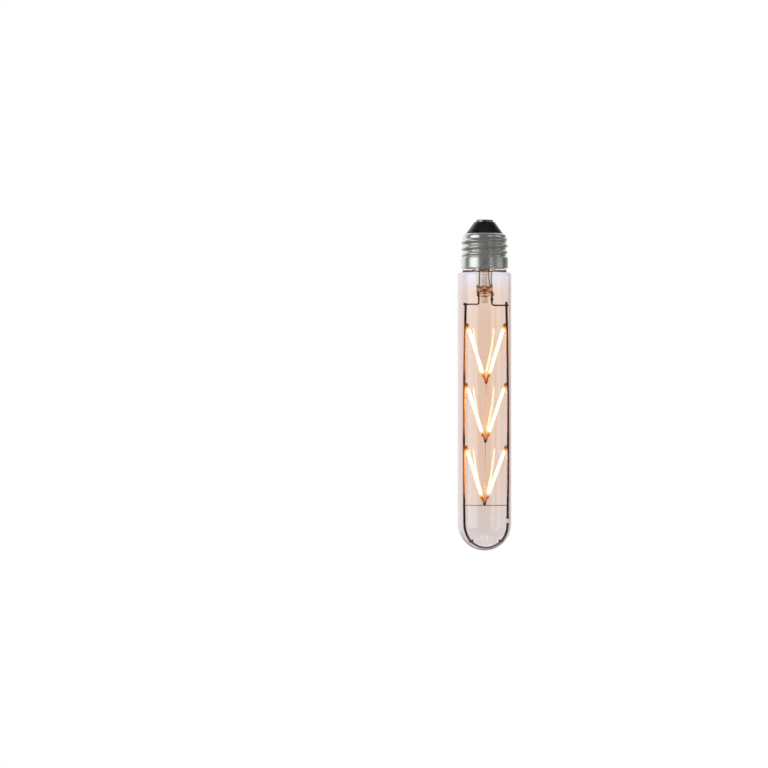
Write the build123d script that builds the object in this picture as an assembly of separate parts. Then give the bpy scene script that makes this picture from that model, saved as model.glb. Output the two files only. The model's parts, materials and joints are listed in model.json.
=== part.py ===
from build123d import *
import os
from math import cos, degrees, radians, sqrt, tan

# Tubular LED filament bulb with an Edison screw cap, hung with its cap up. Millimetres.
# The origin is the middle of the contact's face. +Z points up, out of the cap.
# +X runs across the filament frame, from its left rod to its right rod.

bulb_length = 185.0

# Contact and insulator
contact_r = 4.8
contact_thick = 1.2
contact_bevel = 0.5
rivet_r = 1.5
insulator_top_r = 6.0
insulator_height = 6.6
insulator_wall = 3.2
insulator_seat = 1.4

# Screw shell, an E27 cap of thin sheet with a rolled knuckle thread
shell_wall = 0.35
thread_crest_r = 13.15
thread_depth = 1.0
thread_pitch = 3.63
thread_length = 11.2
thread_land = 0.7
thread_flank = 48.0
lip_width = 1.6
skirt_over = 0.1
skirt_height = 6.4

# Glass envelope
glass_r = 15.0
glass_wall = 0.7
cement_thick = 0.75
neck_inset = 0.1
shoulder_gap = 0.8
shoulder_height = 3.6

# Glass stem: a flared tube, pressed flat round the leads, with an open nub below
stem_r = 4.65
stem_wall = 1.0
flare_inset = 0.6
stem_length = 12.6
stem_floor = 0.8
press_taper = 1.6
press_height = 1.6
press_width = 9.8
press_thick = 4.4
press_bevel = 0.7
press_shift = 0.45
nub_r = 1.9
nub_length = 3.6
exhaust_r = 1.4
exhaust_bore_r = 0.8
exhaust_rise = 0.6
exhaust_point = 1.8
exhaust_tip_r = 0.5

# Lead wires and the arms that carry the frame
lead_r = 0.3
lead_inset = 1.25
lead_top_x = 2.7
right_lead_lean = 0.6
lead_solder = 4.0
lead_bend = 1.8
arm_r = 0.45
arm_kink = 0.8
arm_drop = 4.4
arm_step = 0.6
arm_overshoot = 1.4
left_arm_bend = 1.0
right_arm_bend = 1.4

# Filament frame: two bowed rods, a bead in the right one and a bow across the bottom
frame_shift = 0.8
rod_r = 0.65
rod_clearance = 0.5
rod_bow = 1.04
left_rod_stub = 0.6
right_rod_stub = 1.9
bead_cover = 0.42
bead_length = 4.9
bead_gap = 2.5
bead_rise = 1.7
bow_r = 0.6
bow_clearance = 0.22
bow_inset = 6.65
bow_radius = 10.0
bow_slope = 28.0
bow_corner = 1.0
bow_stub = 1.9
rod_foot = 1.4

# Six LED filaments in three Vs, hung on the rods and tied along the middle
first_v_drop = 10.5
second_v_share = 0.486
filament_length = 31.6
filament_r = 0.8
filament_end_r = 0.32
filament_taper = 1.8
top_tab = 0.5
foot_spread = 1.1
foot_rise = 3.0
tab_width = 0.5
tab_thick = 0.25
centre_r = 0.18
centre_shift = 0.05
centre_lean = 0.013
centre_tail = 0.7
tie_r = 0.22
tie_drop = 0.2
tie_overshoot = 0.7
last_v_rise = 25.6

# Driver inside the cap
board_width = 16.5
board_thick = 1.0
board_top_gap = 1.6
board_foot_gap = 1.0
board_corner = 0.6
rectifier_size = (4.6, 2.4, 3.8)
chip_size = (3.9, 1.5, 2.6)
part_gap = 0.4
part_round = 0.3
leg_width = 0.6
leg_length = 0.9
leg_thick = 0.3
capacitor_r = 2.6
capacitor_length = 8.0
capacitor_groove = 0.35
resistor_r = 1.15
resistor_waist_r = 0.95
resistor_length = 6.2
resistor_cap = 1.6
resistor_gap = 0.1
neutral_drop = 0.9

# Clearances: seal where glass closes on metal, touch where pieces are welded, seated or soldered
seal = 0.02
touch = 0.02
tab_gap = 0.04
cut_margin = 1.0

# Heights, worked out downwards from the contact's face, and radii
tip_z = -bulb_length
dome_z = tip_z + glass_r
insulator_top_z = -contact_thick
lip_z = insulator_top_z - insulator_height
thread_top_z = lip_z - lip_width
skirt_top_z = thread_top_z - thread_length
rim_z = skirt_top_z - skirt_height
thread_root_r = thread_crest_r - thread_depth
skirt_r = thread_crest_r + skirt_over
shell_inner_r = thread_root_r - shell_wall
skirt_inner_r = skirt_r - shell_wall
skirt_foot_z = skirt_top_z - (skirt_r - thread_root_r)
insulator_foot_z = thread_top_z - insulator_seat
lip_r = thread_root_r - lip_width

neck_r = skirt_inner_r - cement_thick
neck_top_z = skirt_foot_z - neck_inset
shoulder_top_z = rim_z - shoulder_gap
shoulder_foot_z = shoulder_top_z - shoulder_height
glass_inner_r = glass_r - glass_wall
neck_inner_r = neck_r - glass_wall

stem_inner_r = stem_r - stem_wall
flare_r = neck_inner_r - seal
flare_z = neck_top_z - flare_inset - stem_wall
press_top_z = rim_z - stem_length
press_z = press_top_z - press_taper
press_foot_z = press_z - press_height
nub_z = press_foot_z - nub_length
cavity_foot_z = press_top_z + stem_floor
exhaust_top_z = neck_top_z + exhaust_rise
lead_half = press_width / 2 - lead_inset
lead_joint_z = (cavity_foot_z + press_foot_z) / 2

left_arm_z = press_foot_z - arm_drop
right_arm_z = left_arm_z - arm_step
frame_y = -(rod_r + arm_r + touch)


def v_height(half):
    """Height of a V between rods this far from the middle, so that its filaments have their real length."""
    spread = half - rod_r - touch - tab_width / 2 - foot_spread
    return sqrt((top_tab + filament_length) ** 2 - spread**2) + foot_rise


# The rods are widest at the last V and come in by rod_bow at the arms
rod_half = glass_inner_r - rod_clearance - rod_r - frame_shift
rod_wide_z = tip_z + last_v_rise + v_height(rod_half)
rod_rise = left_arm_z + right_rod_stub - rod_wide_z
rod_bend_r = (rod_rise**2 + rod_bow**2) / (2 * rod_bow)


def rod_half_at(z):
    """Half the distance between the rods' axes at a height."""
    return rod_half - rod_bend_r + sqrt(rod_bend_r**2 - (z - rod_wide_z) ** 2)


# Where the three Vs hang from the rods, and where their filaments meet
first_v_z = left_arm_z - first_v_drop
attach_z = [first_v_z, first_v_z + second_v_share * (rod_wide_z - first_v_z), rod_wide_z]
joint_z = [z - v_height(rod_half_at(z)) for z in attach_z]
tie_z = joint_z[2] - tie_drop

tie_y = frame_y - rod_r - tie_r - touch
centre_y = tie_y + tie_r + centre_r + touch

bow_low_z = tip_z + glass_wall + bow_clearance + bow_r
bow_half = glass_inner_r - bow_inset
bow_apex_z = bow_low_z - bow_radius * (1 / cos(radians(bow_slope)) - 1)
bow_corner_z = bow_apex_z + bow_half * tan(radians(bow_slope))
bead_r = rod_r + bead_cover
bead_z = dome_z + bead_rise
bead_rod_top_z = bead_z + bead_gap / 2
bead_rod_foot_z = bead_z - bead_gap / 2

board_front_y = lead_r + touch
board_back_y = board_front_y + board_thick
board_top_z = insulator_foot_z - board_top_gap
board_foot_z = exhaust_top_z + board_foot_gap
rivet_foot_z = insulator_top_z - insulator_wall - touch


def wire(path, radius):
    """Round wire along straight runs, which are extruded, and arcs, which are turned about their centres."""
    solid = Part()
    for run in path.edges():
        section = Plane(origin=run @ 0, z_dir=run % 0) * Circle(radius)
        if run.geom_type == GeomType.LINE:
            solid += extrude(section, run.length)
        else:
            turn_axis = (run @ 0 - run.arc_center).cross(run % 0)
            angle = degrees(run.length / run.radius)
            solid += revolve(section, axis=Axis(run.arc_center, turn_axis), revolution_arc=angle)
    return solid


def bent_wire(points, bends, radius):
    """Round wire through points, with a bend radius at each inner one."""
    return wire(FilletPolyline(*points, radius=bends), radius)


def turned(*edges):
    """Solid of revolution about Z from edges that close an outline in the XZ plane."""
    return revolve(Plane.XZ * make_face(Curve() + list(edges)), axis=Axis.Z)


def frame_point(side, half, z):
    """Point in the frame's plane, on its left (side -1) or right (side 1)."""
    return Vector(frame_shift + side * half, frame_y, z)


def lip_corner(side_r):
    """Outline of the crimped corner above the thread, from its mouth edge out to a side wall's radius."""
    reach = side_r - lip_r
    inner = reach * (1 - cos(radians(45)))
    return Polyline(
        (lip_r, thread_top_z + reach),
        (side_r - inner, thread_top_z + reach - inner),
        (side_r, thread_top_z),
    )


def build_contact():
    """Rivet whose flat head is the centre contact."""
    head = Pos(0, 0, insulator_top_z) * Cylinder(
        contact_r, contact_thick, align=(Align.CENTER, Align.CENTER, Align.MIN)
    )
    head = chamfer(head.edges().group_by(Axis.Z)[-1], contact_bevel)
    shank = Pos(0, 0, rivet_foot_z) * Cylinder(
        rivet_r, insulator_top_z - rivet_foot_z, align=(Align.CENTER, Align.CENTER, Align.MIN)
    )
    return head + shank


def build_insulator():
    """Black glass cone between the contact and the shell, hollow below."""
    bore_r = rivet_r + seal
    mouth_r = lip_r - seal
    seat_r = shell_inner_r - seal
    seat_top_z = thread_top_z + seat_r - lip_r
    hollow_r = seat_r - insulator_wall
    crown_r = insulator_top_r - insulator_wall + bore_r
    crown_z = insulator_top_z - insulator_wall
    return turned(
        Polyline((bore_r, crown_z), (bore_r, insulator_top_z), (insulator_top_r, insulator_top_z)),
        Polyline((insulator_top_r, insulator_top_z), (mouth_r, lip_z), (mouth_r, seat_top_z)),
        Line((mouth_r, seat_top_z), (lip_r, seat_top_z)),
        lip_corner(seat_r),
        Polyline((seat_r, thread_top_z), (seat_r, insulator_foot_z), (hollow_r, insulator_foot_z)),
        Polyline((hollow_r, insulator_foot_z), (crown_r, crown_z), (bore_r, crown_z)),
    )


def thread_ridge():
    """Knuckle thread: a narrow crest on sloping flanks, swept up a helix from the skirt into the lip."""
    base_r = thread_root_r - shell_wall / 2
    foot_half = thread_land / 2 + (thread_crest_r - thread_root_r) / tan(radians(thread_flank))
    outline = Polyline(
        (base_r, -foot_half),
        (thread_root_r, -foot_half),
        (thread_crest_r, -thread_land / 2),
        (thread_crest_r, thread_land / 2),
        (thread_root_r, foot_half),
        (base_r, foot_half),
        close=True,
    )
    start = Pos(0, 0, skirt_foot_z - thread_land / 2)
    path = Helix(thread_pitch, thread_top_z - skirt_foot_z + thread_land / 2, thread_root_r)
    return start * sweep(Plane.XZ * make_face(outline), path=path, is_frenet=True)


def build_screw_shell():
    """Thin shell: crimped lip over the insulator, rolled thread, plain skirt round the glass neck."""
    height = lip_z - rim_z
    open_z = rim_z - cut_margin
    body = turned(
        Line((0, lip_z), (lip_r, lip_z)),
        lip_corner(thread_root_r),
        Polyline((thread_root_r, thread_top_z), (thread_root_r, skirt_top_z), (skirt_r, skirt_foot_z)),
        Polyline((skirt_r, skirt_foot_z), (skirt_r, rim_z), (0, rim_z), (0, lip_z)),
    )
    fade = (thread_crest_r - lip_r) / (lip_width + thread_pitch / 2)
    runout = Pos(0, 0, (lip_z + rim_z) / 2) * Cone(lip_r + fade * height, lip_r, height)
    hollow = turned(
        Line((0, lip_z - shell_wall), (lip_r, lip_z - shell_wall)),
        lip_corner(shell_inner_r),
        Polyline((shell_inner_r, thread_top_z), (shell_inner_r, skirt_top_z), (skirt_inner_r, skirt_foot_z)),
        Polyline((skirt_inner_r, skirt_foot_z), (skirt_inner_r, open_z), (0, open_z)),
        Line((0, open_z), (0, lip_z - shell_wall)),
    )
    mouth = Pos(0, 0, lip_z) * Cylinder(lip_r, 2 * shell_wall + cut_margin)
    return body + (thread_ridge() & runout) - hollow - mouth


def build_cement():
    """Ring of basing cement between the skirt and the glass neck."""
    outer_r = skirt_inner_r - touch
    inner_r = neck_r + touch
    top_z = neck_top_z - touch
    return turned(
        Line((inner_r, rim_z), (outer_r, rim_z)),
        Line((outer_r, rim_z), (outer_r, top_z)),
        Line((outer_r, top_z), (inner_r, top_z)),
        Line((inner_r, top_z), (inner_r, rim_z)),
    )


def glass_wall_side(tube, neck, floor_z):
    """One side of the envelope's wall: round end, tube, S-shaped shoulder and neck."""
    middle = Vector((tube + neck) / 2, (shoulder_top_z + shoulder_foot_z) / 2)
    return [
        TangentArc((0, floor_z), (tube, dome_z), tangent=(1, 0)),
        Line((tube, dome_z), (tube, shoulder_foot_z)),
        TangentArc((tube, shoulder_foot_z), middle, tangent=(0, 1)),
        TangentArc((neck, shoulder_top_z), middle, tangent=(0, -1)),
        Line((neck, shoulder_top_z), (neck, neck_top_z)),
    ]


def build_envelope():
    """Blown glass tube, closed and round at the tip, open at the neck."""
    return turned(
        *glass_wall_side(glass_r, neck_r, tip_z),
        *glass_wall_side(glass_inner_r, neck_inner_r, tip_z + glass_wall),
        Line((neck_r, neck_top_z), (neck_inner_r, neck_top_z)),
        Line((0, tip_z), (0, tip_z + glass_wall)),
    )


def lead_x(side):
    """Place of a lead in the press."""
    return press_shift + side * lead_half


def stem_tube():
    """Flared tube of the stem: its trumpet is sealed in the neck, its foot closes in a tapered floor."""
    trumpet = flare_r - stem_r
    trumpet_z = flare_z - trumpet
    bend = trumpet * cos(radians(45))
    inside_bend = (trumpet + stem_wall) * cos(radians(45))
    inside = (flare_r - inside_bend, trumpet_z + inside_bend)
    floor_r = exhaust_r + touch
    taper_z = cavity_foot_z + stem_inner_r - floor_r
    return turned(
        Polyline((0, press_top_z), (stem_r, press_top_z), (stem_r, trumpet_z)),
        Polyline((stem_r, trumpet_z), (flare_r - bend, trumpet_z + bend), (flare_r, flare_z)),
        Polyline((flare_r, flare_z), (flare_r, flare_z + stem_wall), inside, (stem_inner_r, trumpet_z)),
        Polyline((stem_inner_r, trumpet_z), (stem_inner_r, taper_z), (floor_r, cavity_foot_z)),
        Polyline((floor_r, cavity_foot_z), (0, cavity_foot_z), (0, press_top_z)),
    )


def build_stem(wires):
    """Stem glass: flared tube, flat press that closes on the leads, open nub below."""
    pressed = Pos(press_shift, 0, press_foot_z) * SlotOverall(press_width, press_thick)
    waist = Pos(press_shift, 0, press_z) * SlotOverall(press_width, press_thick)
    throat = Pos(0, 0, press_top_z) * Circle(stem_r)
    press = extrude(pressed, press_height)
    press = chamfer(press.edges().group_by(Axis.Z)[0], press_bevel)
    nub = Pos(0, 0, nub_z) * Cylinder(
        nub_r, press_z - nub_z, align=(Align.CENTER, Align.CENTER, Align.MIN)
    )
    nub = chamfer(nub.edges().group_by(Axis.Z)[0], (nub_r - exhaust_bore_r) / 2)
    glass = stem_tube() + loft([waist, throat]) + press + nub
    bore = Pos(0, 0, nub_z - cut_margin) * Cylinder(
        exhaust_bore_r,
        cavity_foot_z - nub_z + 2 * cut_margin,
        align=(Align.CENTER, Align.CENTER, Align.MIN),
    )
    glass -= bore
    for channel in wires:
        glass -= channel
    return glass


def build_exhaust():
    """Exhaust tube on the stem's floor, drawn to a closed point above the flare."""
    neck_z = exhaust_top_z - exhaust_point
    tip_z = exhaust_top_z - exhaust_tip_r
    return turned(
        Line((exhaust_bore_r, cavity_foot_z + touch), (exhaust_r, cavity_foot_z + touch)),
        Line((exhaust_r, cavity_foot_z + touch), (exhaust_r, neck_z)),
        Line((exhaust_r, neck_z), (exhaust_tip_r, tip_z)),
        Polyline((exhaust_tip_r, tip_z), (0, exhaust_top_z), (0, tip_z), (exhaust_bore_r, neck_z)),
        Line((exhaust_bore_r, neck_z), (exhaust_bore_r, cavity_foot_z + touch)),
    )


def lead_foot_x(side):
    """Place of a lead's foot, where the arm begins. The right lead leans out across the stem."""
    reach = stem_inner_r - lead_r - arm_r / 2
    return -reach if side < 0 else reach + right_lead_lean


def arm_path(side):
    """Arm from inside the press, down and out past its rod."""
    x = lead_x(side)
    start_x = lead_foot_x(side)
    z = left_arm_z if side < 0 else right_arm_z
    end_x = frame_shift + side * (rod_half_at(z) + arm_overshoot)
    bend = left_arm_bend if side < 0 else right_arm_bend
    points = [(start_x, 0, lead_joint_z), (x, 0, press_foot_z - arm_r), (x, 0, z), (end_x, 0, z)]
    return points, [arm_kink, bend]


def lead_path(side):
    """Lead from the driver board down the stem to its joint with the arm in the press."""
    top_x = -lead_top_x if side < 0 else lead_top_x - right_lead_lean
    points = [
        (top_x, 0, board_foot_z + lead_solder),
        (top_x, 0, flare_z - flare_r + stem_r),
        (lead_foot_x(side), 0, lead_joint_z + touch),
    ]
    return points, [lead_bend]


def rod_arc(side, high_z, low_z):
    """Stretch of a rod's gentle bow."""
    heights = (high_z, (high_z + low_z) / 2, low_z)
    return ThreePointArc(*[frame_point(side, rod_half_at(z), z) for z in heights])


def rod_foot_arc(side, start):
    """Foot of a rod, which curls in along the round end to the bow's turned-up end."""
    end = frame_point(side, bow_half + bow_r + rod_r + touch, bow_corner_z + rod_foot)
    return TangentArc(start @ 1, end, tangent=start % 1)


def build_bow():
    """Wire across the bottom of the frame, with both ends turned up."""
    points = [
        frame_point(-1, bow_half, bow_corner_z + bow_stub),
        frame_point(-1, bow_half, bow_corner_z),
        frame_point(1, 0, bow_apex_z),
        frame_point(1, bow_half, bow_corner_z),
        frame_point(1, bow_half, bow_corner_z + bow_stub),
    ]
    return bent_wire(points, [bow_corner, bow_radius, bow_corner], bow_r)


def build_left_rod():
    """Left rod in one piece from the arm to the bow."""
    upper = rod_arc(-1, left_arm_z + left_rod_stub, bead_rod_foot_z)
    return wire(Wire([upper, rod_foot_arc(-1, upper)]), rod_r)


def build_right_rod():
    """Right rod from above its arm down into the bead."""
    return wire(rod_arc(1, right_arm_z + right_rod_stub, bead_rod_top_z), rod_r)


def build_right_tail():
    """Lower piece of the right rod, from the bead to the bow."""
    upper = rod_arc(1, bead_rod_foot_z, bead_z - bead_length / 2)
    return wire(Wire([upper, rod_foot_arc(1, upper)]), rod_r)


def build_bead():
    """Glass bead that holds the ends of the two pieces of the right rod and keeps them apart."""
    middle = frame_point(1, rod_half_at(bead_z), bead_z)
    above = frame_point(1, rod_half_at(bead_rod_top_z), bead_rod_top_z)
    socket_r = rod_r + seal
    rim_r = (socket_r + bead_r) / 2
    half = bead_length / 2
    gap = bead_gap / 2 - seal
    bead = turned(
        Line((0, -gap), (socket_r, -gap)),
        Line((socket_r, -gap), (socket_r, -half)),
        Line((socket_r, -half), (rim_r, -half)),
        Polyline((rim_r, -half), (bead_r, -half / 2), (bead_r, half / 2), (rim_r, half)),
        Line((rim_r, half), (socket_r, half)),
        Line((socket_r, half), (socket_r, gap)),
        Line((socket_r, gap), (0, gap)),
        Line((0, gap), (0, -gap)),
    )
    return Plane(origin=middle, x_dir=(0, 1, 0), z_dir=above - middle) * bead


def centre_x(z):
    """Place of the centre wire, which leans a little to the left on its way down."""
    return frame_shift + centre_shift - centre_lean * (joint_z[0] - z)


def filament_points(v, side):
    """Points along a filament: weld on the rod, top and foot of the stick, weld on the centre wire."""
    edge = tab_width / 2 + touch
    middle = centre_x(joint_z[v])
    rod_weld = frame_point(side, rod_half_at(attach_z[v]) - rod_r - edge, attach_z[v])
    aim = Vector(middle + side * foot_spread, centre_y, joint_z[v] + foot_rise)
    direction = (aim - rod_weld).normalized()
    top = rod_weld + direction * top_tab
    foot = top + direction * filament_length
    return rod_weld, top, foot, Vector(middle + side * (centre_r + edge), centre_y, joint_z[v])


def along(start, end):
    """Plane at start whose Z runs to end and whose X lies across the filament, in the frame's plane."""
    direction = (end - start).normalized()
    return Plane(origin=start, x_dir=Vector(0, 1, 0).cross(direction), z_dir=direction)


def build_filament(v, side):
    """LED filament: phosphor stick with drawn-in ends."""
    _, top, foot, _ = filament_points(v, side)
    shoulder = Vector(filament_r, filament_taper)
    upper = Vector(filament_r, filament_length - filament_taper)
    end = Vector(filament_end_r, filament_length)
    stick = turned(
        Polyline((0, 0), (filament_end_r, 0), shoulder, upper, end, (0, filament_length)),
        Line((0, filament_length), (0, 0)),
    )
    return along(top, foot) * stick


def tab(start, end):
    """Flat metal tab between two points."""
    strip = Box(tab_width, tab_thick, (end - start).length, align=(Align.CENTER, Align.CENTER, Align.MIN))
    return along(start, end) * strip


def build_tabs(v, side):
    """The two metal tabs of a filament, one welded to the rod and one, bent inwards, to the centre wire."""
    rod_weld, top, foot, wire_weld = filament_points(v, side)
    gap = (foot - top).normalized() * tab_gap
    return Compound(children=[tab(rod_weld, top - gap), tab(foot + gap, wire_weld)])


def build_centre_wire():
    """Thin wire along the middle that links the feet of the three Vs."""
    top_z = joint_z[0] + centre_tail
    foot_z = tie_z - centre_tail
    return wire(Line((centre_x(top_z), centre_y, top_z), (centre_x(foot_z), centre_y, foot_z)), centre_r)


def build_tie_wire():
    """Thin insulated wire across the frame at the last V, hooked round the left rod."""
    left_x = frame_shift - rod_half_at(tie_z)
    right_x = frame_shift + rod_half_at(tie_z) + tie_overshoot
    wrap = frame_y - tie_y
    points = [
        (right_x, tie_y, tie_z),
        (left_x - wrap, tie_y, tie_z),
        (left_x - wrap, frame_y + rod_r, tie_z),
    ]
    return bent_wire(points, [wrap], tie_r)


def build_board():
    """Driver board, standing on edge behind the leads."""
    board = Pos(0, (board_front_y + board_back_y) / 2, (board_top_z + board_foot_z) / 2) * Box(
        board_width, board_thick, board_top_z - board_foot_z
    )
    return fillet(board.edges().filter_by(Axis.Y), board_corner)


def chip(size, x, z):
    """Moulded component on the board's front, with two legs above and two below."""
    width, depth, height = size
    face_y = board_front_y - touch
    body = Pos(x, face_y - depth / 2, z) * Box(width, depth, height)
    body = chamfer(body.faces().sort_by(Axis.Y)[0].edges(), part_round)
    leg = Box(leg_width, leg_thick, leg_length)
    for row in (-1, 1):
        for column in (-1, 1):
            leg_x = x + column * width / 4
            leg_z = z + row * (height + leg_length) / 2
            body += Pos(leg_x, face_y - leg_thick / 2, leg_z) * leg
    return body


def build_rectifier():
    """Bridge rectifier beside the right lead."""
    x = lead_top_x + lead_r + part_gap + rectifier_size[0] / 2
    return chip(rectifier_size, x, (board_top_z + board_foot_z) / 2)


def build_chip():
    """Current regulator low on the board, between the leads."""
    return chip(chip_size, -right_lead_lean / 2, board_foot_z + leg_length + chip_size[2] / 2)


def lying(solid, radius, z):
    """Round component laid along X on the board's back."""
    return Pos(0, board_back_y + touch + radius, z) * (Rot(0, 90, 0) * solid)


def build_capacitor():
    """Smoothing capacitor with a crimped groove near one end."""
    half = capacitor_length / 2
    groove_z = half - capacitor_r
    can = turned(
        Polyline(
            (0, -half),
            (capacitor_r - part_round, -half),
            (capacitor_r, -half + part_round),
            (capacitor_r, groove_z - capacitor_groove),
            (capacitor_r - capacitor_groove, groove_z),
            (capacitor_r, groove_z + capacitor_groove),
            (capacitor_r, half - part_round),
            (capacitor_r - part_round, half),
            (0, half),
        ),
        Line((0, half), (0, -half)),
    )
    return lying(can, capacitor_r, board_top_z - capacitor_r)


def build_resistor():
    """Fuse resistor under the capacitor, with a dog-bone body."""
    half = resistor_length / 2
    waist_half = half - resistor_cap
    bone = turned(
        Polyline(
            (0, -half),
            (resistor_r, -half),
            (resistor_r, -waist_half),
            (resistor_waist_r, part_round - waist_half),
            (resistor_waist_r, waist_half - part_round),
            (resistor_r, waist_half),
            (resistor_r, half),
            (0, half),
        ),
        Line((0, half), (0, -half)),
    )
    return lying(bone, resistor_r, board_top_z - 2 * capacitor_r - resistor_r - resistor_gap)


def build_live_wire():
    """Wire from the board's front up to the foot of the contact's rivet."""
    foot_z = board_top_z - lead_solder / 2
    return wire(Line((0, 0, foot_z), (0, 0, rivet_foot_z - touch)), lead_r)


def build_neutral_wire():
    """Wire from the board's front out to the inside of the shell."""
    z = board_top_z - neutral_drop
    inner_x = -(board_width / 2 - lead_solder / 2)
    return wire(Line((inner_x, 0, z), (lead_r / 2 - shell_inner_r, 0, z)), lead_r)


sides = {"left": -1, "right": 1}
nodes = {
    "centre_contact": build_contact(),
    "cap_insulator": build_insulator(),
    "screw_shell": build_screw_shell(),
    "basing_cement": build_cement(),
    "glass_envelope": build_envelope(),
    "exhaust_tube": build_exhaust(),
    "bottom_bow": build_bow(),
    "left_rod": build_left_rod(),
    "right_rod": build_right_rod(),
    "right_rod_tail": build_right_tail(),
    "glass_bead": build_bead(),
    "centre_wire": build_centre_wire(),
    "tie_wire": build_tie_wire(),
    "driver_board": build_board(),
    "bridge_rectifier": build_rectifier(),
    "driver_chip": build_chip(),
    "smoothing_capacitor": build_capacitor(),
    "fuse_resistor": build_resistor(),
    "live_wire": build_live_wire(),
    "neutral_wire": build_neutral_wire(),
}

channels = []
for name, side in sides.items():
    for kind, route, radius in (("arm", arm_path(side), arm_r), ("lead", lead_path(side), lead_r)):
        nodes[f"{name}_{kind}"] = bent_wire(*route, radius)
        channels.append(bent_wire(*route, radius + seal))
nodes["glass_stem"] = build_stem(channels)

for v in range(len(attach_z)):
    for name, side in sides.items():
        nodes[f"filament_{v + 1}_{name}"] = build_filament(v, side)
        nodes[f"filament_{v + 1}_{name}_tabs"] = build_tabs(v, side)

os.makedirs("parts", exist_ok=True)
for name, shape in nodes.items():
    export_step(shape, f"parts/{name}.step")

print(f"{len(nodes)} pieces, Vs hang at {attach_z[0]:.1f}, {attach_z[1]:.1f} and {attach_z[2]:.1f} mm")
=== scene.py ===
import json
from math import atan2, cos, degrees, pi, radians, sin, sqrt

import bmesh
import bpy
from mathutils import Matrix, Vector


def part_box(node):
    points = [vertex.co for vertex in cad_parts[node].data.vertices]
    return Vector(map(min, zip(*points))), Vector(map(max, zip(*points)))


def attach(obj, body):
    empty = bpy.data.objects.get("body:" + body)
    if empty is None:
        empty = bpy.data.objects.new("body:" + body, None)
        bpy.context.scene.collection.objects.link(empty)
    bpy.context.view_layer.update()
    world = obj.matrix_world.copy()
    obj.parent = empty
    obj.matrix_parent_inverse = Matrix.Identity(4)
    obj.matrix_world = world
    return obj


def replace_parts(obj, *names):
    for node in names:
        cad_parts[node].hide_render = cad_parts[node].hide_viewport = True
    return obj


# Looks of a tubular LED filament bulb, hung with its cap up. The bulb's sizes are in millimetres.
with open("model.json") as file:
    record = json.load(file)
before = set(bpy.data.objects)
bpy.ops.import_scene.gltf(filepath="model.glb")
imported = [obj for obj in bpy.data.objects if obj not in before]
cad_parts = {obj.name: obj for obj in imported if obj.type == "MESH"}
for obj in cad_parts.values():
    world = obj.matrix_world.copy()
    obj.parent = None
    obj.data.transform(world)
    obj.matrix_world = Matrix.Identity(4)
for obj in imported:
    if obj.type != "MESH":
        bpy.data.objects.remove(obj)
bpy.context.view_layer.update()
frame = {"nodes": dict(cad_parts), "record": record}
mm = 0.001
end_slice = 0.35
on_axis_r = 0.01
v_numbers = (1, 2, 3)
sides = ("left", "right")


def box_of(node):
    """Lowest and highest corner of a solid, in millimetres."""
    low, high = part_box(node)
    return Vector(low) / mm, Vector(high) / mm


def ends_of(node):
    """Middles of a solid's top and foot, each taken over a thin slice."""
    points = [v.co / mm for v in frame["nodes"][node].data.vertices]
    high_z = max(p.z for p in points)
    low_z = min(p.z for p in points)
    top = [p for p in points if p.z > high_z - end_slice]
    foot = [p for p in points if p.z < low_z + end_slice]
    return sum(top, Vector()) / len(top), sum(foot, Vector()) / len(foot)


# Sizes read from the solids
glass_low, glass_high = box_of("glass_envelope")
shell_low, shell_high = box_of("screw_shell")
insulator_low, insulator_high = box_of("cap_insulator")
contact_low, contact_high = box_of("centre_contact")
stem_low, stem_high = box_of("glass_stem")
tip_z = glass_low.z
glass_r = glass_high.x
neck_top_z = glass_high.z
rim_z = shell_low.z
lip_z = shell_high.z
skirt_r = shell_high.x

# Envelope
glass_wall = 0.7
neck_r = 12.15
shoulder_gap = 0.8
shoulder_height = 3.6
dome_z = tip_z + glass_r
shoulder_top_z = rim_z - shoulder_gap
shoulder_foot_z = shoulder_top_z - shoulder_height

# Screw shell
shell_wall = 0.35
thread_crest_r = 13.15
thread_depth = 1.0
thread_pitch = 3.63
thread_runout = 0.7 * thread_pitch
lip_width = 1.6
skirt_height = 5.3
edge_round = 0.12
thread_root_r = thread_crest_r - thread_depth
lip_r = thread_root_r - lip_width
thread_top_z = lip_z - lip_width
skirt_foot_z = rim_z + skirt_height
skirt_top_z = skirt_foot_z + skirt_r - thread_root_r

# Stem
stem_r = 4.65
stem_wall = 1.0
stem_floor_z = -38.8
throat_z = -39.6
press_z = -41.2
press_foot_z = -42.8
press_half = Vector((4.9, 2.2))
press_power = 0.6
press_shift = 0.45
press_round = 0.7
nub_r = 1.9
bore_r = 0.8

# Filaments
filament_r = 0.8
filament_end_r = 0.66
filament_swell = 0.9
dark_end = 2.3
lit_rise = 1.5
foot_dark = -0.4

# Materials: glass, the range of a grain's noise that shows, and the relief of a fine finish
glass_ior = 1.5
white = (1, 1, 1, 1)
grain_low = 0.3
grain_high = 0.7
fine_relief = 0.15
fine_depth = 0.05


def arc(centre_r, centre_z, radius, start, end, steps):
    """Points (r, z) of a circular arc, angles in degrees from +r towards +z."""
    points = []
    for i in range(steps + 1):
        angle = radians(start + (end - start) * i / steps)
        points.append((centre_r + radius * cos(angle), centre_z + radius * sin(angle)))
    return points


def turns(segments):
    """Angles of a full turn, in radians."""
    return [2 * pi * i / segments for i in range(segments)]


def ring(r, z, segments):
    """Row of points round the axis, or a single one on it."""
    if r < on_axis_r:
        return [Vector((0, 0, z))]
    return [Vector((r * cos(a), r * sin(a), z)) for a in turns(segments)]


def rings(outline, segments):
    """Rows of points round the axis, one for each point (r, z) of an outline."""
    return [ring(r, z, segments) for r, z in outline]


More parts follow.
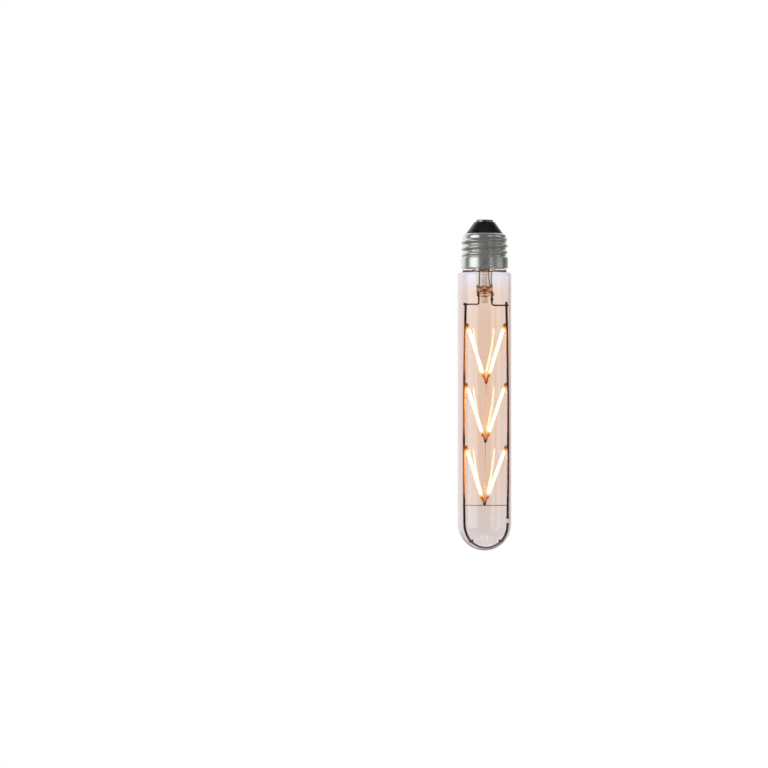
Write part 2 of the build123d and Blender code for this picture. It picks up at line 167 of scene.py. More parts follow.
def skin(name, rows, closed=False, sharp=None):
    """Mesh in metres over rows of points in millimetres.

    It is smooth, but for edges sharper than an angle in degrees where that is given.
    """
    mesh = bpy.data.meshes.new(name)
    bm = bmesh.new()
    loops = [[bm.verts.new(p * mm) for p in row] for row in rows]
    if closed:
        loops.append(loops[0])
    for low, high in zip(loops, loops[1:]):
        for i in range(max(len(low), len(high))):
            j = i + 1
            corners = [low[i % len(low)], low[j % len(low)], high[j % len(high)], high[i % len(high)]]
            corners = list(dict.fromkeys(corners))
            if len(corners) > 2:
                bm.faces.new(corners)
    bmesh.ops.recalc_face_normals(bm, faces=bm.faces)
    bm.to_mesh(mesh)
    bm.free()
    mesh.shade_smooth()
    if sharp is not None:
        mesh.set_sharp_from_angle(angle=radians(sharp))
    return mesh


def piece(name, mesh, slot, finish=None):
    """Adds a mesh to the scene as a piece of the bulb, in its slot's finish or another one."""
    obj = bpy.data.objects.new(name, mesh)
    bpy.context.scene.collection.objects.link(obj)
    mesh.materials.append(materials[finish or slot])
    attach(obj, "root")
    return obj


class Nodes:
    """Short way to write the node tree of a material or a world."""

    # Places of the colour sockets on a mix node
    mix_first = 6
    mix_second = 7
    mix_result = 2

    def __init__(self, owner, end="ShaderNodeOutputMaterial"):
        self.owner = owner
        self.end = end
        owner.use_nodes = True
        self.tree = owner.node_tree
        self.tree.nodes.clear()

    def add(self, kind, settings=None, **values):
        """New node with its settings and the values of its inputs, whose names have _ for a space."""
        node = self.tree.nodes.new(kind)
        for key, value in (settings or {}).items():
            setattr(node, key, value)
        for key, value in values.items():
            self.put(node.inputs[key.replace("_", " ")], value)
        return node

    def put(self, socket, value):
        """Feeds an input from another node's output, or gives it a fixed value."""
        if isinstance(value, bpy.types.NodeSocket):
            self.tree.links.new(value, socket)
        else:
            socket.default_value = value

    def out(self, shader):
        """Ends the tree and returns its owner."""
        self.add(self.end, Surface=shader.outputs[0])
        return self.owner

    def place(self):
        """Place on the object, in metres."""
        return self.add("ShaderNodeTexCoord").outputs["Object"]

    def part(self, vector, axis):
        """One axis of a vector."""
        return self.add("ShaderNodeSeparateXYZ", Vector=vector).outputs[axis]

    def coordinate(self, axis):
        """One axis of the place on the object."""
        return self.part(self.place(), axis)

    def slant(self):
        """From 0 where the surface faces the viewer to 1 where it is edge on."""
        return self.add("ShaderNodeLayerWeight", Blend=0.5).outputs["Facing"]

    def grain(self, scale, detail=4.0, stretch=(1, 1, 1)):
        """Noise over the object."""
        vector = self.add("ShaderNodeMapping", Vector=self.place(), Scale=stretch).outputs["Vector"]
        noise = self.add("ShaderNodeTexNoise", Vector=vector, Scale=scale, Detail=detail)
        return noise.outputs["Fac"]

    def math(self, operation, first, second=0.0):
        """Result of one operation on numbers."""
        node = self.add("ShaderNodeMath", {"operation": operation})
        self.put(node.inputs[0], first)
        self.put(node.inputs[1], second)
        return node.outputs["Value"]

    def times(self, first, second):
        """Product of two colours."""
        node = self.add("ShaderNodeVectorMath", {"operation": "MULTIPLY"})
        self.put(node.inputs[0], first)
        self.put(node.inputs[1], second)
        return node.outputs["Vector"]

    def blend(self, factor, first, second):
        """Colour between two."""
        node = self.add("ShaderNodeMix", {"data_type": "RGBA"})
        self.put(node.inputs[0], factor)
        self.put(node.inputs[self.mix_first], first)
        self.put(node.inputs[self.mix_second], second)
        return node.outputs[self.mix_result]

    def mix(self, factor, first, second):
        """Shader between two."""
        node = self.add("ShaderNodeMixShader", Fac=factor)
        self.put(node.inputs[1], first.outputs[0])
        self.put(node.inputs[2], second.outputs[0])
        return node

    def ramp(self, factor, *stops):
        """Colour from a row of stops (place, colour)."""
        node = self.add("ShaderNodeValToRGB", Fac=factor)
        elements = node.color_ramp.elements
        while len(elements) < len(stops):
            elements.new(0.5)
        for element, (place, colour) in zip(elements, stops):
            element.position = place
            element.color = (*colour, 1)
        return node.outputs["Color"]

    def mottle(self, grain, dark, light):
        """Colour that varies with a grain."""
        return self.ramp(grain, (grain_low, dark), (grain_high, light))

    def between(self, value, low, high, to_low=0.0, to_high=1.0):
        """Value brought from one range to another and kept inside it."""
        node = self.add("ShaderNodeMapRange", Value=value)
        node.inputs["From Min"].default_value = low
        node.inputs["From Max"].default_value = high
        node.inputs["To Min"].default_value = to_low
        node.inputs["To Max"].default_value = to_high
        return node.outputs["Result"]

    def roughen(self, shader, grain, least, most):
        """Lets the roughness vary with a grain."""
        level = self.between(grain, grain_low, grain_high, least, most)
        self.put(shader.inputs["Roughness"], level)

    def emboss(self, shader, grain, relief=fine_relief, depth=fine_depth):
        """Gives a shader the relief of a grain, with its depth in millimetres."""
        bump = self.add("ShaderNodeBump", Height=grain, Strength=relief, Distance=depth * mm)
        self.put(shader.inputs["Normal"], bump.outputs["Normal"])


def surface(
    name, dark, light, scale, roughness,
    metallic=0.0, stretch=(1, 1, 1), relief=fine_relief, depth=fine_depth, gloss=0.5,
):
    """Opaque material whose colour, roughness and relief vary with a fine grain."""
    n = Nodes(bpy.data.materials.new(name))
    grain = n.grain(scale, detail=5.0, stretch=stretch)
    shader = n.add("ShaderNodeBsdfPrincipled", Metallic=metallic, Specular_IOR_Level=gloss)
    n.put(shader.inputs["Base Color"], n.mottle(grain, dark, light))
    n.roughen(shader, grain, *roughness)
    n.emboss(shader, grain, relief, depth)
    return n.out(shader)


def clear(n, colour, gleam=white):
    """Glass that lets the light of lamps through to what is behind it.

    Gleam is the colour of what it mirrors.
    """
    bent = n.add("ShaderNodeBsdfRefraction", Color=colour, IOR=glass_ior, Roughness=0.0)
    mirror = n.add("ShaderNodeBsdfGlossy", Color=gleam, Roughness=0.0)
    glass = n.mix(n.add("ShaderNodeFresnel", IOR=glass_ior).outputs["Fac"], bent, mirror)
    through = n.add("ShaderNodeBsdfTransparent", Color=colour)
    path = n.add("ShaderNodeLightPath")
    lamp = n.math("MAXIMUM", path.outputs["Is Shadow Ray"], path.outputs["Is Diffuse Ray"])
    return n.out(n.mix(lamp, glass, through))


def tinted_glass():
    """Gold-tinted glass of the envelope.

    It is clear by the neck, amber round the filaments, greyer at the round end and paler at a slant.
    """
    n = Nodes(bpy.data.materials.new("tinted_glass"))
    tints = [
        (0.00, (0.925, 0.890, 0.885)),
        (0.10, (0.937, 0.905, 0.893)),
        (0.21, (0.955, 0.890, 0.850)),
        (0.40, (0.966, 0.888, 0.834)),
        (0.77, (0.968, 0.889, 0.831)),
        (0.88, (0.972, 0.908, 0.862)),
        (0.912, (0.970, 0.937, 0.925)),
        (0.93, (0.970, 0.956, 0.968)),
        (0.945, (0.970, 0.961, 0.988)),
    ]
    slant_tint = (0.99, 0.97, 0.98, 1)
    slant_full = 0.4
    slant_share = 0.6
    gleams = [(0.45, (1, 1, 1)), (0.68, (0.79, 0.71, 0.71))]
    height = n.between(n.coordinate("Z"), tip_z * mm, neck_top_z * mm)
    slant = n.slant()
    paler = n.between(slant, 0.0, slant_full, 0.0, slant_share)
    tint = n.blend(paler, n.ramp(height, *tints), slant_tint)
    return clear(n, tint, n.ramp(slant, *gleams))


def stem_glass():
    """Clear glass of the stem.

    It is amber in three lobes where its floor melted round the leads, and along the press's foot; brown bands
    under the lobes and along the press's foot are painted shade.
    """
    n = Nodes(bpy.data.materials.new("stem_glass"))
    lobe_width = 2.9
    lobe_rise = 0.25
    arch_half = 2.6
    arch_drop = 1.1
    melt_low_z = throat_z - 1.0
    melt_high_z = throat_z + 3.0
    foot_low_z = press_foot_z - 0.8
    foot_high_z = press_foot_z + 1.2
    bright = (0.992, 0.987, 0.987)
    pale = (0.985, 0.960, 0.935)
    amber = (0.955, 0.730, 0.480)
    brown = (0.520, 0.210, 0.060)
    # The brown stops are painted shade under the melted lobes and along the press's foot
    melt_tints_and_shade = [(0.18, pale), (0.26, brown), (0.38, brown), (0.48, amber), (0.66, amber)]
    melt_tints_and_shade += [(0.72, brown), (0.80, bright)]
    foot_tints_and_shade = [(0.2, bright), (0.35, amber), (0.5, brown), (0.62, amber), (0.75, pale)]
    z = n.coordinate("Z")
    x = n.coordinate("X")
    lobes = n.math("COSINE", n.math("MULTIPLY", x, 2 * pi / (lobe_width * mm)))
    arch = n.math("POWER", n.math("ABSOLUTE", n.math("DIVIDE", x, arch_half * mm)), 2.0)
    drop = n.math("MULTIPLY", arch, arch_drop * mm)
    rise = n.math("MULTIPLY", lobes, lobe_rise * mm)
    melt_z = n.math("ADD", z, n.math("SUBTRACT", drop, rise))
    melt = n.ramp(n.between(melt_z, melt_low_z * mm, melt_high_z * mm), *melt_tints_and_shade)
    foot = n.ramp(n.between(z, foot_low_z * mm, foot_high_z * mm), *foot_tints_and_shade)
    return clear(n, n.times(melt, foot))


def plain_glass():
    """Clear glass of the exhaust tube and the bead, with the faintest cloud in it."""
    n = Nodes(bpy.data.materials.new("plain_glass"))
    cloud = (0.978, 0.974, 0.974)
    bright = (0.995, 0.992, 0.988)
    return clear(n, n.mottle(n.grain(scale=400), cloud, bright))


def phosphor():
    """Lit phosphor: warm light along the stick, yellower at its edges, orange where its ends stay dark.

    The stick itself, its mirror images and the light that it casts each have their own brightness.
    """
    n = Nodes(bpy.data.materials.new("phosphor"))
    end_glow = [
        (0.4, (0.0, 0.0, 0.0)),
        (0.6, (0.30, 0.07, 0.002)),
        (0.85, (0.55, 0.30, 0.020)),
        (1.0, (0.85, 0.66, 0.08)),
    ]
    half_lit = 0.5
    half_glow = (1.15, 1.16, 0.60, 1)
    middle_glow = (4.0, 3.6, 2.6, 1)
    edge_glow = (3.6, 2.9, 1.0, 1)
    edge_start = 0.25
    edge_full = 0.75
    image_glow = (11.0, 9.4, 5.0, 1)
    cast_glow = (52.0, 36.0, 13.0, 1)
    lit = n.add("ShaderNodeAttribute", {"attribute_name": "lit"}).outputs["Fac"]
    grain = n.grain(scale=2500, detail=3.0)
    shader = n.add("ShaderNodeBsdfPrincipled", Roughness=0.6, Specular_IOR_Level=0.15)
    unlit = n.mottle(grain, dark=(0.38, 0.090, 0.001), light=(0.48, 0.120, 0.002))
    n.put(shader.inputs["Base Color"], unlit)
    path = n.add("ShaderNodeLightPath")
    mirrored = n.math("GREATER_THAN", path.outputs["Glossy Depth"], 0.5)
    seen = n.math("MAXIMUM", path.outputs["Is Camera Ray"], path.outputs["Is Transmission Ray"])
    seen = n.math("MAXIMUM", seen, path.outputs["Is Glossy Ray"])
    ends = n.ramp(n.between(lit, -1.0, 0.0), *end_glow)
    rise = n.blend(n.between(lit, 0.0, half_lit), ends, half_glow)
    core = n.blend(n.between(n.slant(), edge_start, edge_full), middle_glow, edge_glow)
    direct = n.blend(n.between(lit, half_lit, 1.0), rise, core)
    image = n.blend(lit, ends, image_glow)
    cast = n.blend(lit, ends, cast_glow)
    n.put(shader.inputs["Emission Color"], n.blend(seen, cast, n.blend(mirrored, direct, image)))
    n.put(shader.inputs["Emission Strength"], 1.0)
    n.emboss(shader, grain, relief=0.2, depth=0.04)
    return n.out(shader)


def frame_wire():
    """Dark steel wire, with a bronze colour painted along the stretches of the rods beside the filaments, as
    painted glow of their light.

    On the right rod the painted glow is on its inner side only, the side that faces the filaments.
    """
    n = Nodes(bpy.data.materials.new("dark_wire"))
    glow_stretch_drop = 14.0
    glow_stretch_half = 11.0
    glow_stretch_fade = 5.0
    rods_from_x = 8.0
    rods_full_x = 10.0
    right_glow_share = 0.45
    inner_full = -0.7
    z = n.coordinate("Z")
    # Painted glow of the filaments' light: one band along the rods beside each V
    glow_bands = 0.0
    for v in v_numbers:
        middle = ends_of(f"filament_{v}_left")[0].z - glow_stretch_drop
        away = n.math("ABSOLUTE", n.math("SUBTRACT", z, middle * mm))
        near = n.between(away, (glow_stretch_half + glow_stretch_fade) * mm, glow_stretch_half * mm)
        glow_bands = n.math("MAXIMUM", glow_bands, near)
    x = n.coordinate("X")
    normal = n.add("ShaderNodeNewGeometry").outputs["Normal"]
    # The right rod's painted glow is only on the side that faces the filaments
    lit_side = n.between(n.part(normal, "X"), 0.0, inner_full)
    left = n.between(x, -rods_from_x * mm, -rods_full_x * mm)
    right = n.math("MULTIPLY", lit_side, n.between(x, rods_from_x * mm, rods_full_x * mm, 0.0, right_glow_share))
    painted_glow = n.math("MULTIPLY", glow_bands, n.math("MAXIMUM", left, right))
    grain = n.grain(scale=700, detail=5.0, stretch=(1, 1, 0.2))
    steel = n.mottle(grain, dark=(0.030, 0.011, 0.004), light=(0.056, 0.022, 0.008))
    # Bronze colour painted where the filaments' light falls on the rods
    painted_bronze_glow = n.mottle(grain, dark=(0.28, 0.117, 0.032), light=(0.36, 0.160, 0.052))
    shader = n.add("ShaderNodeBsdfPrincipled", Specular_IOR_Level=0.08)
    n.put(shader.inputs["Base Color"], n.blend(painted_glow, steel, painted_bronze_glow))
    n.roughen(shader, grain, least=0.45, most=0.65)
    n.emboss(shader, grain)
    return n.out(shader)


def foot_weld(name, shade_share, brown_share, glow_share):
    """Weld at a V's foot, with painted light: dark below as painted shade, orange above as painted glow of
    the filament's light, at these shares of its height.
    """
    n = Nodes(bpy.data.materials.new(name))
    dark = (0.06, 0.020, 0.006)
    brown = (0.40, 0.140, 0.030)
    orange = (0.88, 0.340, 0.075)
    height = n.part(n.add("ShaderNodeTexCoord").outputs["Generated"], "Z")
    shader = n.add("ShaderNodeBsdfPrincipled", Roughness=0.5, Specular_IOR_Level=0.2)
    # Painted shade at the weld's foot, rising through brown to a painted orange glow at its top
    tint = n.ramp(height, (shade_share, dark), (brown_share, brown), (glow_share, orange))
    n.put(shader.inputs["Base Color"], tint)
    n.emboss(shader, n.grain(scale=900))
    return n.out(shader)


def enamelled_wire():
    """Brown enamel on copper wire; above the tie wire it is golden, as painted glow of the filaments' light.
    """
    n = Nodes(bpy.data.materials.new("enamelled_wire"))
    glow_rise = 2.0
    tie_z = box_of("tie_wire")[1].z
    height = n.between(n.coordinate("Z"), tie_z * mm, (tie_z + glow_rise) * mm)
    grain = n.grain(scale=500, detail=5.0)
    brown = n.mottle(grain, dark=(0.13, 0.040, 0.013), light=(0.26, 0.095, 0.032))
    painted_glow_gold = n.mottle(grain, dark=(0.42, 0.165, 0.020), light=(0.62, 0.260, 0.038))
    shader = n.add("ShaderNodeBsdfPrincipled")
    # Golden colour painted above the tie wire, where the filaments' light falls
    n.put(shader.inputs["Base Color"], n.blend(height, brown, painted_glow_gold))
    n.roughen(shader, grain, least=0.25, most=0.45)
    n.emboss(shader, grain)
    return n.out(shader)


materials = {
    "tinted_glass": tinted_glass(),
    "stem_glass": stem_glass(),
    "clear_glass": plain_glass(),
    "phosphor": phosphor(),
    "tab_metal": surface(
        "tab_metal", (0.16, 0.055, 0.015), (0.30, 0.105, 0.030), scale=900, roughness=(0.4, 0.6),
        gloss=0.25,
    ),
    "dark_wire": frame_wire(),
    "first_foot_weld": foot_weld(
        "first_foot_weld", shade_share=0.10, brown_share=0.35, glow_share=0.75
    ),
    "foot_weld": foot_weld("foot_weld", shade_share=0.30, brown_share=0.48, glow_share=0.72),
    "enamelled_wire": enamelled_wire(),
    "copper_wire": surface(
        "copper_wire", (0.20, 0.105, 0.075), (0.36, 0.20, 0.14), scale=600, roughness=(0.3, 0.5),
        metallic=0.4,
    ),
    "nickel_plate": surface(
        "nickel_plate", (0.74, 0.71, 0.67), (0.88, 0.85, 0.81), scale=260, roughness=(0.20, 0.36),
        metallic=0.88, stretch=(1, 1, 4), relief=0.08,
    ),
    "black_vitrite": surface(
        "black_vitrite", (0.006, 0.006, 0.007), (0.018, 0.018, 0.020), scale=160, roughness=(0.12, 0.24)
    ),
    "contact_metal": surface(
        "contact_metal", (0.40, 0.35, 0.26), (0.60, 0.54, 0.42), scale=420, roughness=(0.24, 0.44),
        metallic=1.0,
    ),
    "cement": surface(
        "cement", (0.42, 0.35, 0.26), (0.66, 0.58, 0.46), scale=900, roughness=(0.8, 0.95),
        relief=0.6, depth=0.2,
    ),
    "board_laminate": surface(
        "board_laminate", (0.03, 0.12, 0.05), (0.05, 0.20, 0.08), scale=700, roughness=(0.35, 0.5)
    ),
    "black_epoxy": surface(
        "black_epoxy", (0.010, 0.010, 0.010), (0.025, 0.025, 0.025), scale=1200, roughness=(0.45, 0.65)
    ),
    "capacitor_sleeve": surface(
        "capacitor_sleeve", (0.012, 0.016, 0.03), (0.03, 0.04, 0.07), scale=500, roughness=(0.25, 0.4)
    ),
    "resistor_coat": surface(
        "resistor_coat", (0.12, 0.22, 0.27), (0.20, 0.33, 0.40), scale=700, roughness=(0.2, 0.35)
    ),
}

# The solids that stay get their finished materials
for part in frame["record"]["subparts"]:
    node = frame["nodes"][part["node"]]
    node.data.materials.clear()
    node.data.materials.append(materials[part["material_slot"]])


def shoulder(tube, neck):
    """S-shaped shoulder from the tube up to the neck."""
    reach = (tube - neck) / 2
    half = shoulder_height / 2
    radius = (reach**2 + half**2) / (2 * reach)
    turn = degrees(atan2(half, radius - reach))
    lower = arc(tube - radius, shoulder_foot_z, radius, 0, turn, steps=10)
    upper = arc(neck + radius, shoulder_top_z, radius, 180 + turn, 180, steps=10)
    return lower + upper[1:]


def wall_side(offset):
    """One side of the envelope's wall, this far in from the outside."""
    dome = arc(0, dome_z, glass_r - offset, -90, 0, steps=40)
    return dome + shoulder(glass_r - offset, neck_r - offset) + [(neck_r - offset, neck_top_z)]


def build_envelope():
    """Glass tube with a round end, in one fine mesh."""
    outline = wall_side(0) + wall_side(glass_wall)[::-1]
    mesh = skin("envelope", rings(outline, segments=160), sharp=60)
    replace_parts(piece("envelope", mesh, "tinted_glass"), "glass_envelope")


def thread_lift(z, angle):
    """How far the rolled thread stands out of its root at a place on the shell."""
    turn = (z - skirt_foot_z) / thread_pitch - angle / (2 * pi)
    wave = 0.5 + 0.5 * cos(2 * pi * turn)
    fade_top = min(1, max(0, (thread_top_z - z) / thread_runout))
    fade_foot = min(1, max(0, (z - skirt_foot_z) / (skirt_top_z - skirt_foot_z)))
    return thread_depth * wave * fade_top * fade_foot


def build_shell():
    """Screw shell: rounded lip, rolled thread, plain skirt."""
    segments = 144
    thread_rows = 90
    step = skirt_r - thread_root_r
    rise = thread_top_z - skirt_top_z
    outside = arc(skirt_r - edge_round, rim_z + edge_round, edge_round, -90, 0, steps=4)
    outside += arc(skirt_r - step / 2, skirt_foot_z, step / 2, 0, 90, steps=5)
    outside += arc(skirt_r - step / 2, skirt_top_z, step / 2, 270, 180, steps=5)[1:]
    outside += [(thread_root_r, skirt_top_z + rise * i / thread_rows) for i in range(1, thread_rows)]
    outside += arc(lip_r, thread_top_z, lip_width, 0, 90, steps=10)
    inside = arc(lip_r, thread_top_z, lip_width - shell_wall, 90, 0, steps=8)
    inside += [(thread_root_r - shell_wall, skirt_top_z), (skirt_r - shell_wall, skirt_foot_z)]
    inside += [(skirt_r - shell_wall, rim_z)]
    rows = []
    for r, z in outside:
        reaches = [(a, r + thread_lift(z, a)) for a in turns(segments)]
        rows.append([Vector((reach * cos(a), reach * sin(a), z)) for a, reach in reaches])
    mesh = skin("shell", rows + rings(inside, segments), closed=True, sharp=50)
    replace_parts(piece("shell", mesh, "nickel_plate"), "screw_shell")


def build_insulator():
    """Black glass cone with softened edges."""
    top_r = 6.0
    wall = 3.2
    rivet_r = 1.5
    soft = 0.5
    top_z = insulator_high.z
    foot_z = insulator_low.z
    mouth_r = lip_r - shell_wall / 3
    seat_r = thread_root_r - shell_wall - edge_round
    outline = arc(top_r - soft, top_z - soft, soft, 90, 35, steps=5)
    outline += [(mouth_r - soft / 2, lip_z + soft), (mouth_r, lip_z), (mouth_r, thread_top_z + lip_width / 2)]
    outline += [(seat_r, thread_top_z), (seat_r, foot_z), (seat_r - wall, foot_z)]
    outline += [(rivet_r + wall, top_z - wall), (rivet_r, top_z - wall), (rivet_r, top_z)]
    mesh = skin("insulator", rings(outline, segments=96), closed=True, sharp=40)
    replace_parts(piece("insulator", mesh, "black_vitrite"), "cap_insulator")


def build_contact():
    """Centre contact: a flat rivet head with a rolled edge and a small dimple."""
    shank_r = 1.48
    edge = 0.45
    dimple_r = 2.1
    dimple = 0.1
    top_z = contact_high.z
    under_z = insulator_high.z
    outline = [(0, contact_low.z), (shank_r, contact_low.z), (shank_r, under_z), (contact_high.x, under_z)]
    outline += arc(contact_high.x - edge, top_z - edge, edge, 0, 90, steps=6)
    outline += [(dimple_r + dimple, top_z), (dimple_r, top_z - dimple), (shank_r, top_z - dimple)]
    outline += [(shank_r - dimple, top_z), (0, top_z)]
    mesh = skin("contact", rings(outline, segments=96), sharp=35)
    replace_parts(piece("contact", mesh, "contact_metal"), "centre_contact")


def press_row(z, half_x, half_y, power, shift, segments):
    """Row of the stem's outside, from a circle (power 1) to a flat press with full corners (below 1)."""
    row = []
    for a in turns(segments):
        x = abs(cos(a)) ** power * (1 if cos(a) > 0 else -1)
        y = abs(sin(a)) ** power * (1 if sin(a) > 0 else -1)
        row.append(Vector((shift + half_x * x, half_y * y, z)))
    return row


def build_stem():
    """Stem: flared tube, melted floor and flat press with the open nub below.

    It closes on the wires without a gap.
    """
    segments = 96
    press_steps = 12
    flare_r = stem_high.x
    trumpet = flare_r - stem_r
    trumpet_z = stem_high.z - stem_wall - trumpet
    rows = rings(arc(flare_r, trumpet_z, trumpet, 90, 180, steps=16), segments)
    for i in range(press_steps + 1):
        share = i / press_steps
        flat = share * share * (3 - 2 * share)
        half_x = stem_r + flat * (press_half.x - stem_r)
        half_y = stem_r + flat * (press_half.y - stem_r)
        z = throat_z + share * (press_z - throat_z)
        power = 1 - (1 - press_power) * flat
        rows.append(press_row(z, half_x, half_y, power, flat * press_shift, segments))
    for inset, z in arc(press_round, press_foot_z + press_round, press_round, 180, 270, steps=6):
        half_x = press_half.x - inset
        half_y = press_half.y - inset
        rows.append(press_row(z, half_x, half_y, press_power, press_shift, segments))
    end_round = (nub_r - bore_r) / 2
    nub_end_z = stem_low.z + end_round
    floor_round = stem_r - stem_wall - bore_r
    nub = [(nub_r, press_foot_z)] + arc(nub_r - end_round, nub_end_z, end_round, 0, -180, steps=10)
    inside = arc(bore_r, stem_floor_z + floor_round, floor_round, -90, 0, steps=12)
    inside += arc(flare_r, trumpet_z, trumpet + stem_wall, 180, 90, steps=16)
    mesh = skin("stem", rows + rings(nub + inside, segments), closed=True, sharp=40)
    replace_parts(piece("stem", mesh, "clear_glass", "stem_glass"), "glass_stem")


def build_filament(node):
    """Lit stick on the axis of its solid, with fine skin and dark ends."""
    segments = 20
    steps = 90
    top, foot = ends_of(node)
    direction = (foot - top).normalized()
    length = (foot - top).length
    across = Vector((0, 1, 0)).cross(direction).normalized()
    turn = Matrix((across, direction.cross(across), direction)).transposed().to_4x4()
    place = Matrix.Translation(top) @ turn
    rows = [[top]]
    for i in range(steps + 1):
        along = length * i / steps
        swell = min(1, min(along, length - along) / filament_swell)
        r = filament_end_r + (filament_r - filament_end_r) * sqrt(swell * (2 - swell))
        rows.append([place @ p for p in ring(r, along, segments)])
    rows.append([foot])
    mesh = skin(node + "_skin", rows)
    lit = mesh.attributes.new("lit", "FLOAT", "POINT")
    for vertex, value in zip(mesh.vertices, lit.data):
        along = (vertex.co / mm - top).dot(direction)
        inside = min(along, length - along) - dark_end
        darkest = -1 if along < length / 2 else foot_dark
        value.value = min(1, inside / lit_rise) if inside > 0 else max(darkest, inside / dark_end)
    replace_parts(piece(node + "_skin", mesh, "phosphor"), node)


def weld(name, middle, half_sizes, finish="dark_wire"):
    """Lump of molten metal round a joint."""
    segments = 24
    steps = 12
    rows = []
    for i in range(steps + 1):
        angle = pi * i / steps
        row = ring(sin(angle), -cos(angle), segments)
        rows.append([middle + Vector([p[k] * half_sizes[k] for k in range(3)]) for p in row])
    piece(name, skin(name, rows), "dark_wire", finish)


def build_foot_welds():
    """Welds of the filaments' feet on the centre wire."""
    rise = 1.6
    half_sizes = (0.75, 0.45, 2.1)
    wire_top, wire_foot = ends_of("centre_wire")
    for v in v_numbers:
        tabs_z = box_of(f"filament_{v}_left_tabs")[0].z
        share = (wire_top.z - tabs_z) / (wire_top.z - wire_foot.z)
        middle = wire_top.lerp(wire_foot, share) + Vector((0, 0, rise))
        weld(f"foot_weld_{v}", middle, half_sizes, "first_foot_weld" if v == 1 else "foot_weld")


def build_arm_welds():
    """Welds of the arms on the rods' tops."""
    rise = 0.45
    shifts = {"left": -0.5, "right": 0.0}
    half_sizes = {"left": (0.95, 0.8, 0.8), "right": (0.8, 0.8, 0.75)}
    for side in sides:
        arm_low = box_of(f"{side}_arm")[0]
        rod_top = ends_of(f"{side}_rod")[0]
        middle = Vector((rod_top.x + shifts[side], rod_top.y / 2, arm_low.z + rise))
        weld(f"{side}_arm_weld", middle, half_sizes[side])


def build_bow_welds():
    """Welds of the bow's ends on the rods' feet."""
    drop = 0.1
    shifts = {"left": 0.75, "right": -0.35}
    rods = {"left": "left_rod", "right": "right_rod_tail"}
    half_sizes = (1.1, 0.7, 1.0)
    for side in sides:
        rod_foot = ends_of(rods[side])[1]
        weld(f"{side}_bow_weld", rod_foot + Vector((shifts[side], 0, -drop)), half_sizes)


def build_lead_weld():
    """Weld on the right arm, just below the press."""
    arm_x = 4.15
    drop = 1.7
    half_sizes = (0.85, 0.8, 1.7)
    weld("right_lead_weld", Vector((arm_x, 0, press_foot_z - drop)), half_sizes)


build_envelope()
build_shell()
build_insulator()
build_contact()
build_stem()
for v in v_numbers:
    for side in sides:
        build_filament(f"filament_{v}_{side}")
build_foot_welds()
build_arm_welds()
build_bow_welds()
build_lead_weld()

# Camera: level, in front, at the photo's scale, with the bulb's axis and tip where the photo has them
scene = bpy.context.scene
pixel = 0.5597
photo_width = 768
photo_middle = 383.5
axis_column = 484.0
tip_row = 550.0
lens = 120.0
sensor = 36.0
camera_data = bpy.data.cameras.new("camera")
camera_data.lens = lens
camera_data.sensor_width = sensor
camera = bpy.data.objects.new("camera", camera_data)
scene.collection.objects.link(camera)
camera_x = (photo_middle - axis_column) * pixel
camera_y = -photo_width * pixel * lens / sensor
camera_z = tip_z + (tip_row - photo_middle) * pixel
camera.location = Vector((camera_x, camera_y, camera_z)) * mm
camera.rotation_euler = (radians(90), 0, 0)
scene.camera = camera


def softbox(name, azimuth, width, watts):
    """Large soft lamp aimed at the middle of the bulb, with sizes in metres.

    Azimuth is in degrees from the camera's side, to the right.
    """
    height = 1.2
    away = 1.3
    rise = 0.12
    lamp = bpy.data.lights.new(name, "AREA")
    lamp.shape = "RECTANGLE"
    lamp.size = width
    lamp.size_y = height
    lamp.energy = watts
    lamp.color = (0.84, 0.94, 1.0)
    obj = bpy.data.objects.new(name, lamp)
    scene.collection.objects.link(obj)
    target = Vector((0, 0, tip_z / 2 * mm))
    direction = Vector((sin(radians(azimuth)), -cos(radians(azimuth)), rise))
    obj.location = target + away * direction
    obj.rotation_euler = (-direction).to_track_quat("-Z", "Y").to_euler()


softbox("left_softbox", azimuth=-56, width=1.10, watts=5.8)
softbox("right_softbox", azimuth=31, width=0.34, watts=0.6)
softbox("side_softbox", azimuth=77, width=0.85, watts=1.2)


def build_floor():
    """Plain pale floor well below the hanging bulb, fading out at its edge, with sizes in metres."""
    radius = 0.9
    drop = 0.35
    n = Nodes(bpy.data.materials.new("floor"))
    reach = n.add("ShaderNodeVectorMath", {"operation": "LENGTH"}, Vector=n.place()).outputs["Value"]
    diffuse = n.add("ShaderNodeBsdfDiffuse", Color=(0.86, 0.86, 0.86, 1))
    through = n.add("ShaderNodeBsdfTransparent")
    mix = n.mix(n.between(reach, radius / 3, radius), diffuse, through)
    mesh = skin("floor", rings([(0, 0), (radius / mm, 0)], segments=64))
    mesh.materials.append(n.out(mix))
    floor = bpy.data.objects.new("floor", mesh)
    floor.location.z = tip_z * mm - drop
    floor.visible_glossy = False
    scene.collection.objects.link(floor)


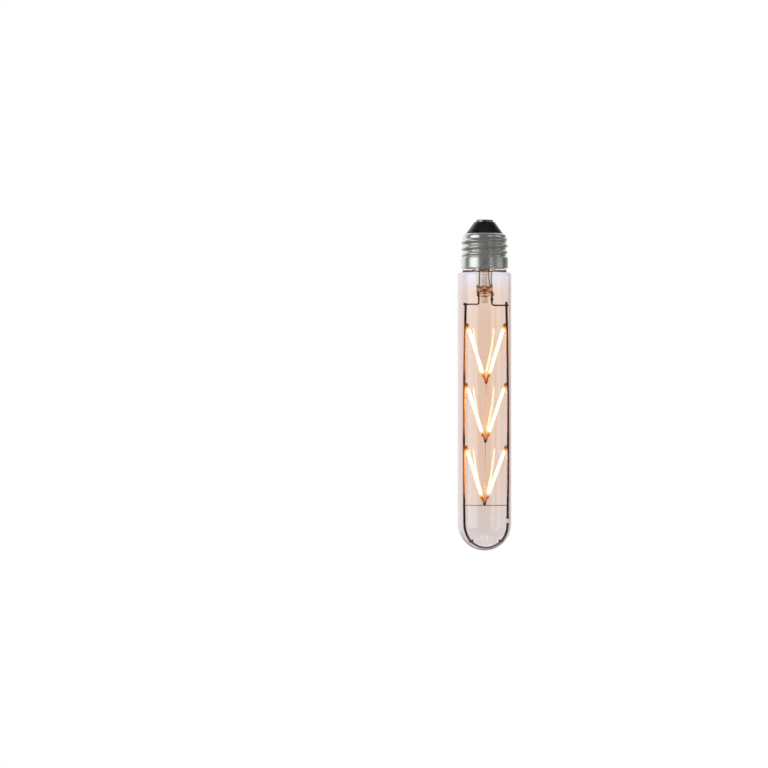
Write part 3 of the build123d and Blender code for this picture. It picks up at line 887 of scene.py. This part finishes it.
def build_world():
    """White surroundings, at a plain level for matt surfaces.

    Through the glass they stay white. Mirrored in glass and metal, the white backdrop shows behind the
    bulb, darker to the right and below, with a dim room round the other sides.
    """
    plain = 0.8
    room = 0.03
    backdrop_turn = radians(4)
    backdrop_edge, backdrop_full = 0.25, 0.6
    right_start, right_end, right_level = 0.37, 0.65, 0.25
    far_right_start, far_right_end = 0.68, 0.86
    below_start, below_end, below_level = -0.15, -0.5, 0.08
    world = bpy.data.worlds.new("world")
    scene.world = world
    n = Nodes(world, "ShaderNodeOutputWorld")
    path = n.add("ShaderNodeLightPath")
    direction = n.add("ShaderNodeTexCoord").outputs["Generated"]
    facing = n.add("ShaderNodeVectorMath", {"operation": "DOT_PRODUCT"})
    n.put(facing.inputs[0], direction)
    n.put(facing.inputs[1], (-sin(backdrop_turn), cos(backdrop_turn), 0))
    x = n.part(direction, "X")
    z = n.part(direction, "Z")
    behind = n.between(facing.outputs["Value"], backdrop_edge, backdrop_full)
    right = n.between(x, right_start, right_end, 1.0, right_level)
    far_right = n.between(x, far_right_start, far_right_end, 1.0, 0.0)
    below = n.between(z, below_start, below_end, 1.0, below_level)
    light = n.math("MULTIPLY", behind, n.math("MULTIPLY", right, below))
    light = n.math("MULTIPLY", light, far_right)
    backdrop = n.between(light, 0.0, 1.0, room, 1.0)
    mirrored = n.math("GREATER_THAN", path.outputs["Glossy Depth"], 0.5)
    through = n.math("MAXIMUM", path.outputs["Is Glossy Ray"], path.outputs["Is Transmission Ray"])
    shown = n.add("ShaderNodeMix", Factor=mirrored, A=1.0, B=backdrop).outputs["Result"]
    seen = n.add("ShaderNodeMix", Factor=through, A=plain, B=shown).outputs["Result"]
    level = n.math("MAXIMUM", seen, path.outputs["Is Camera Ray"])
    n.out(n.add("ShaderNodeBackground", Color=white, Strength=level))


build_floor()
build_world()
glass_bounces = 32
scene.cycles.max_bounces = glass_bounces
scene.cycles.transmission_bounces = glass_bounces
scene.view_settings.view_transform = "Standard"
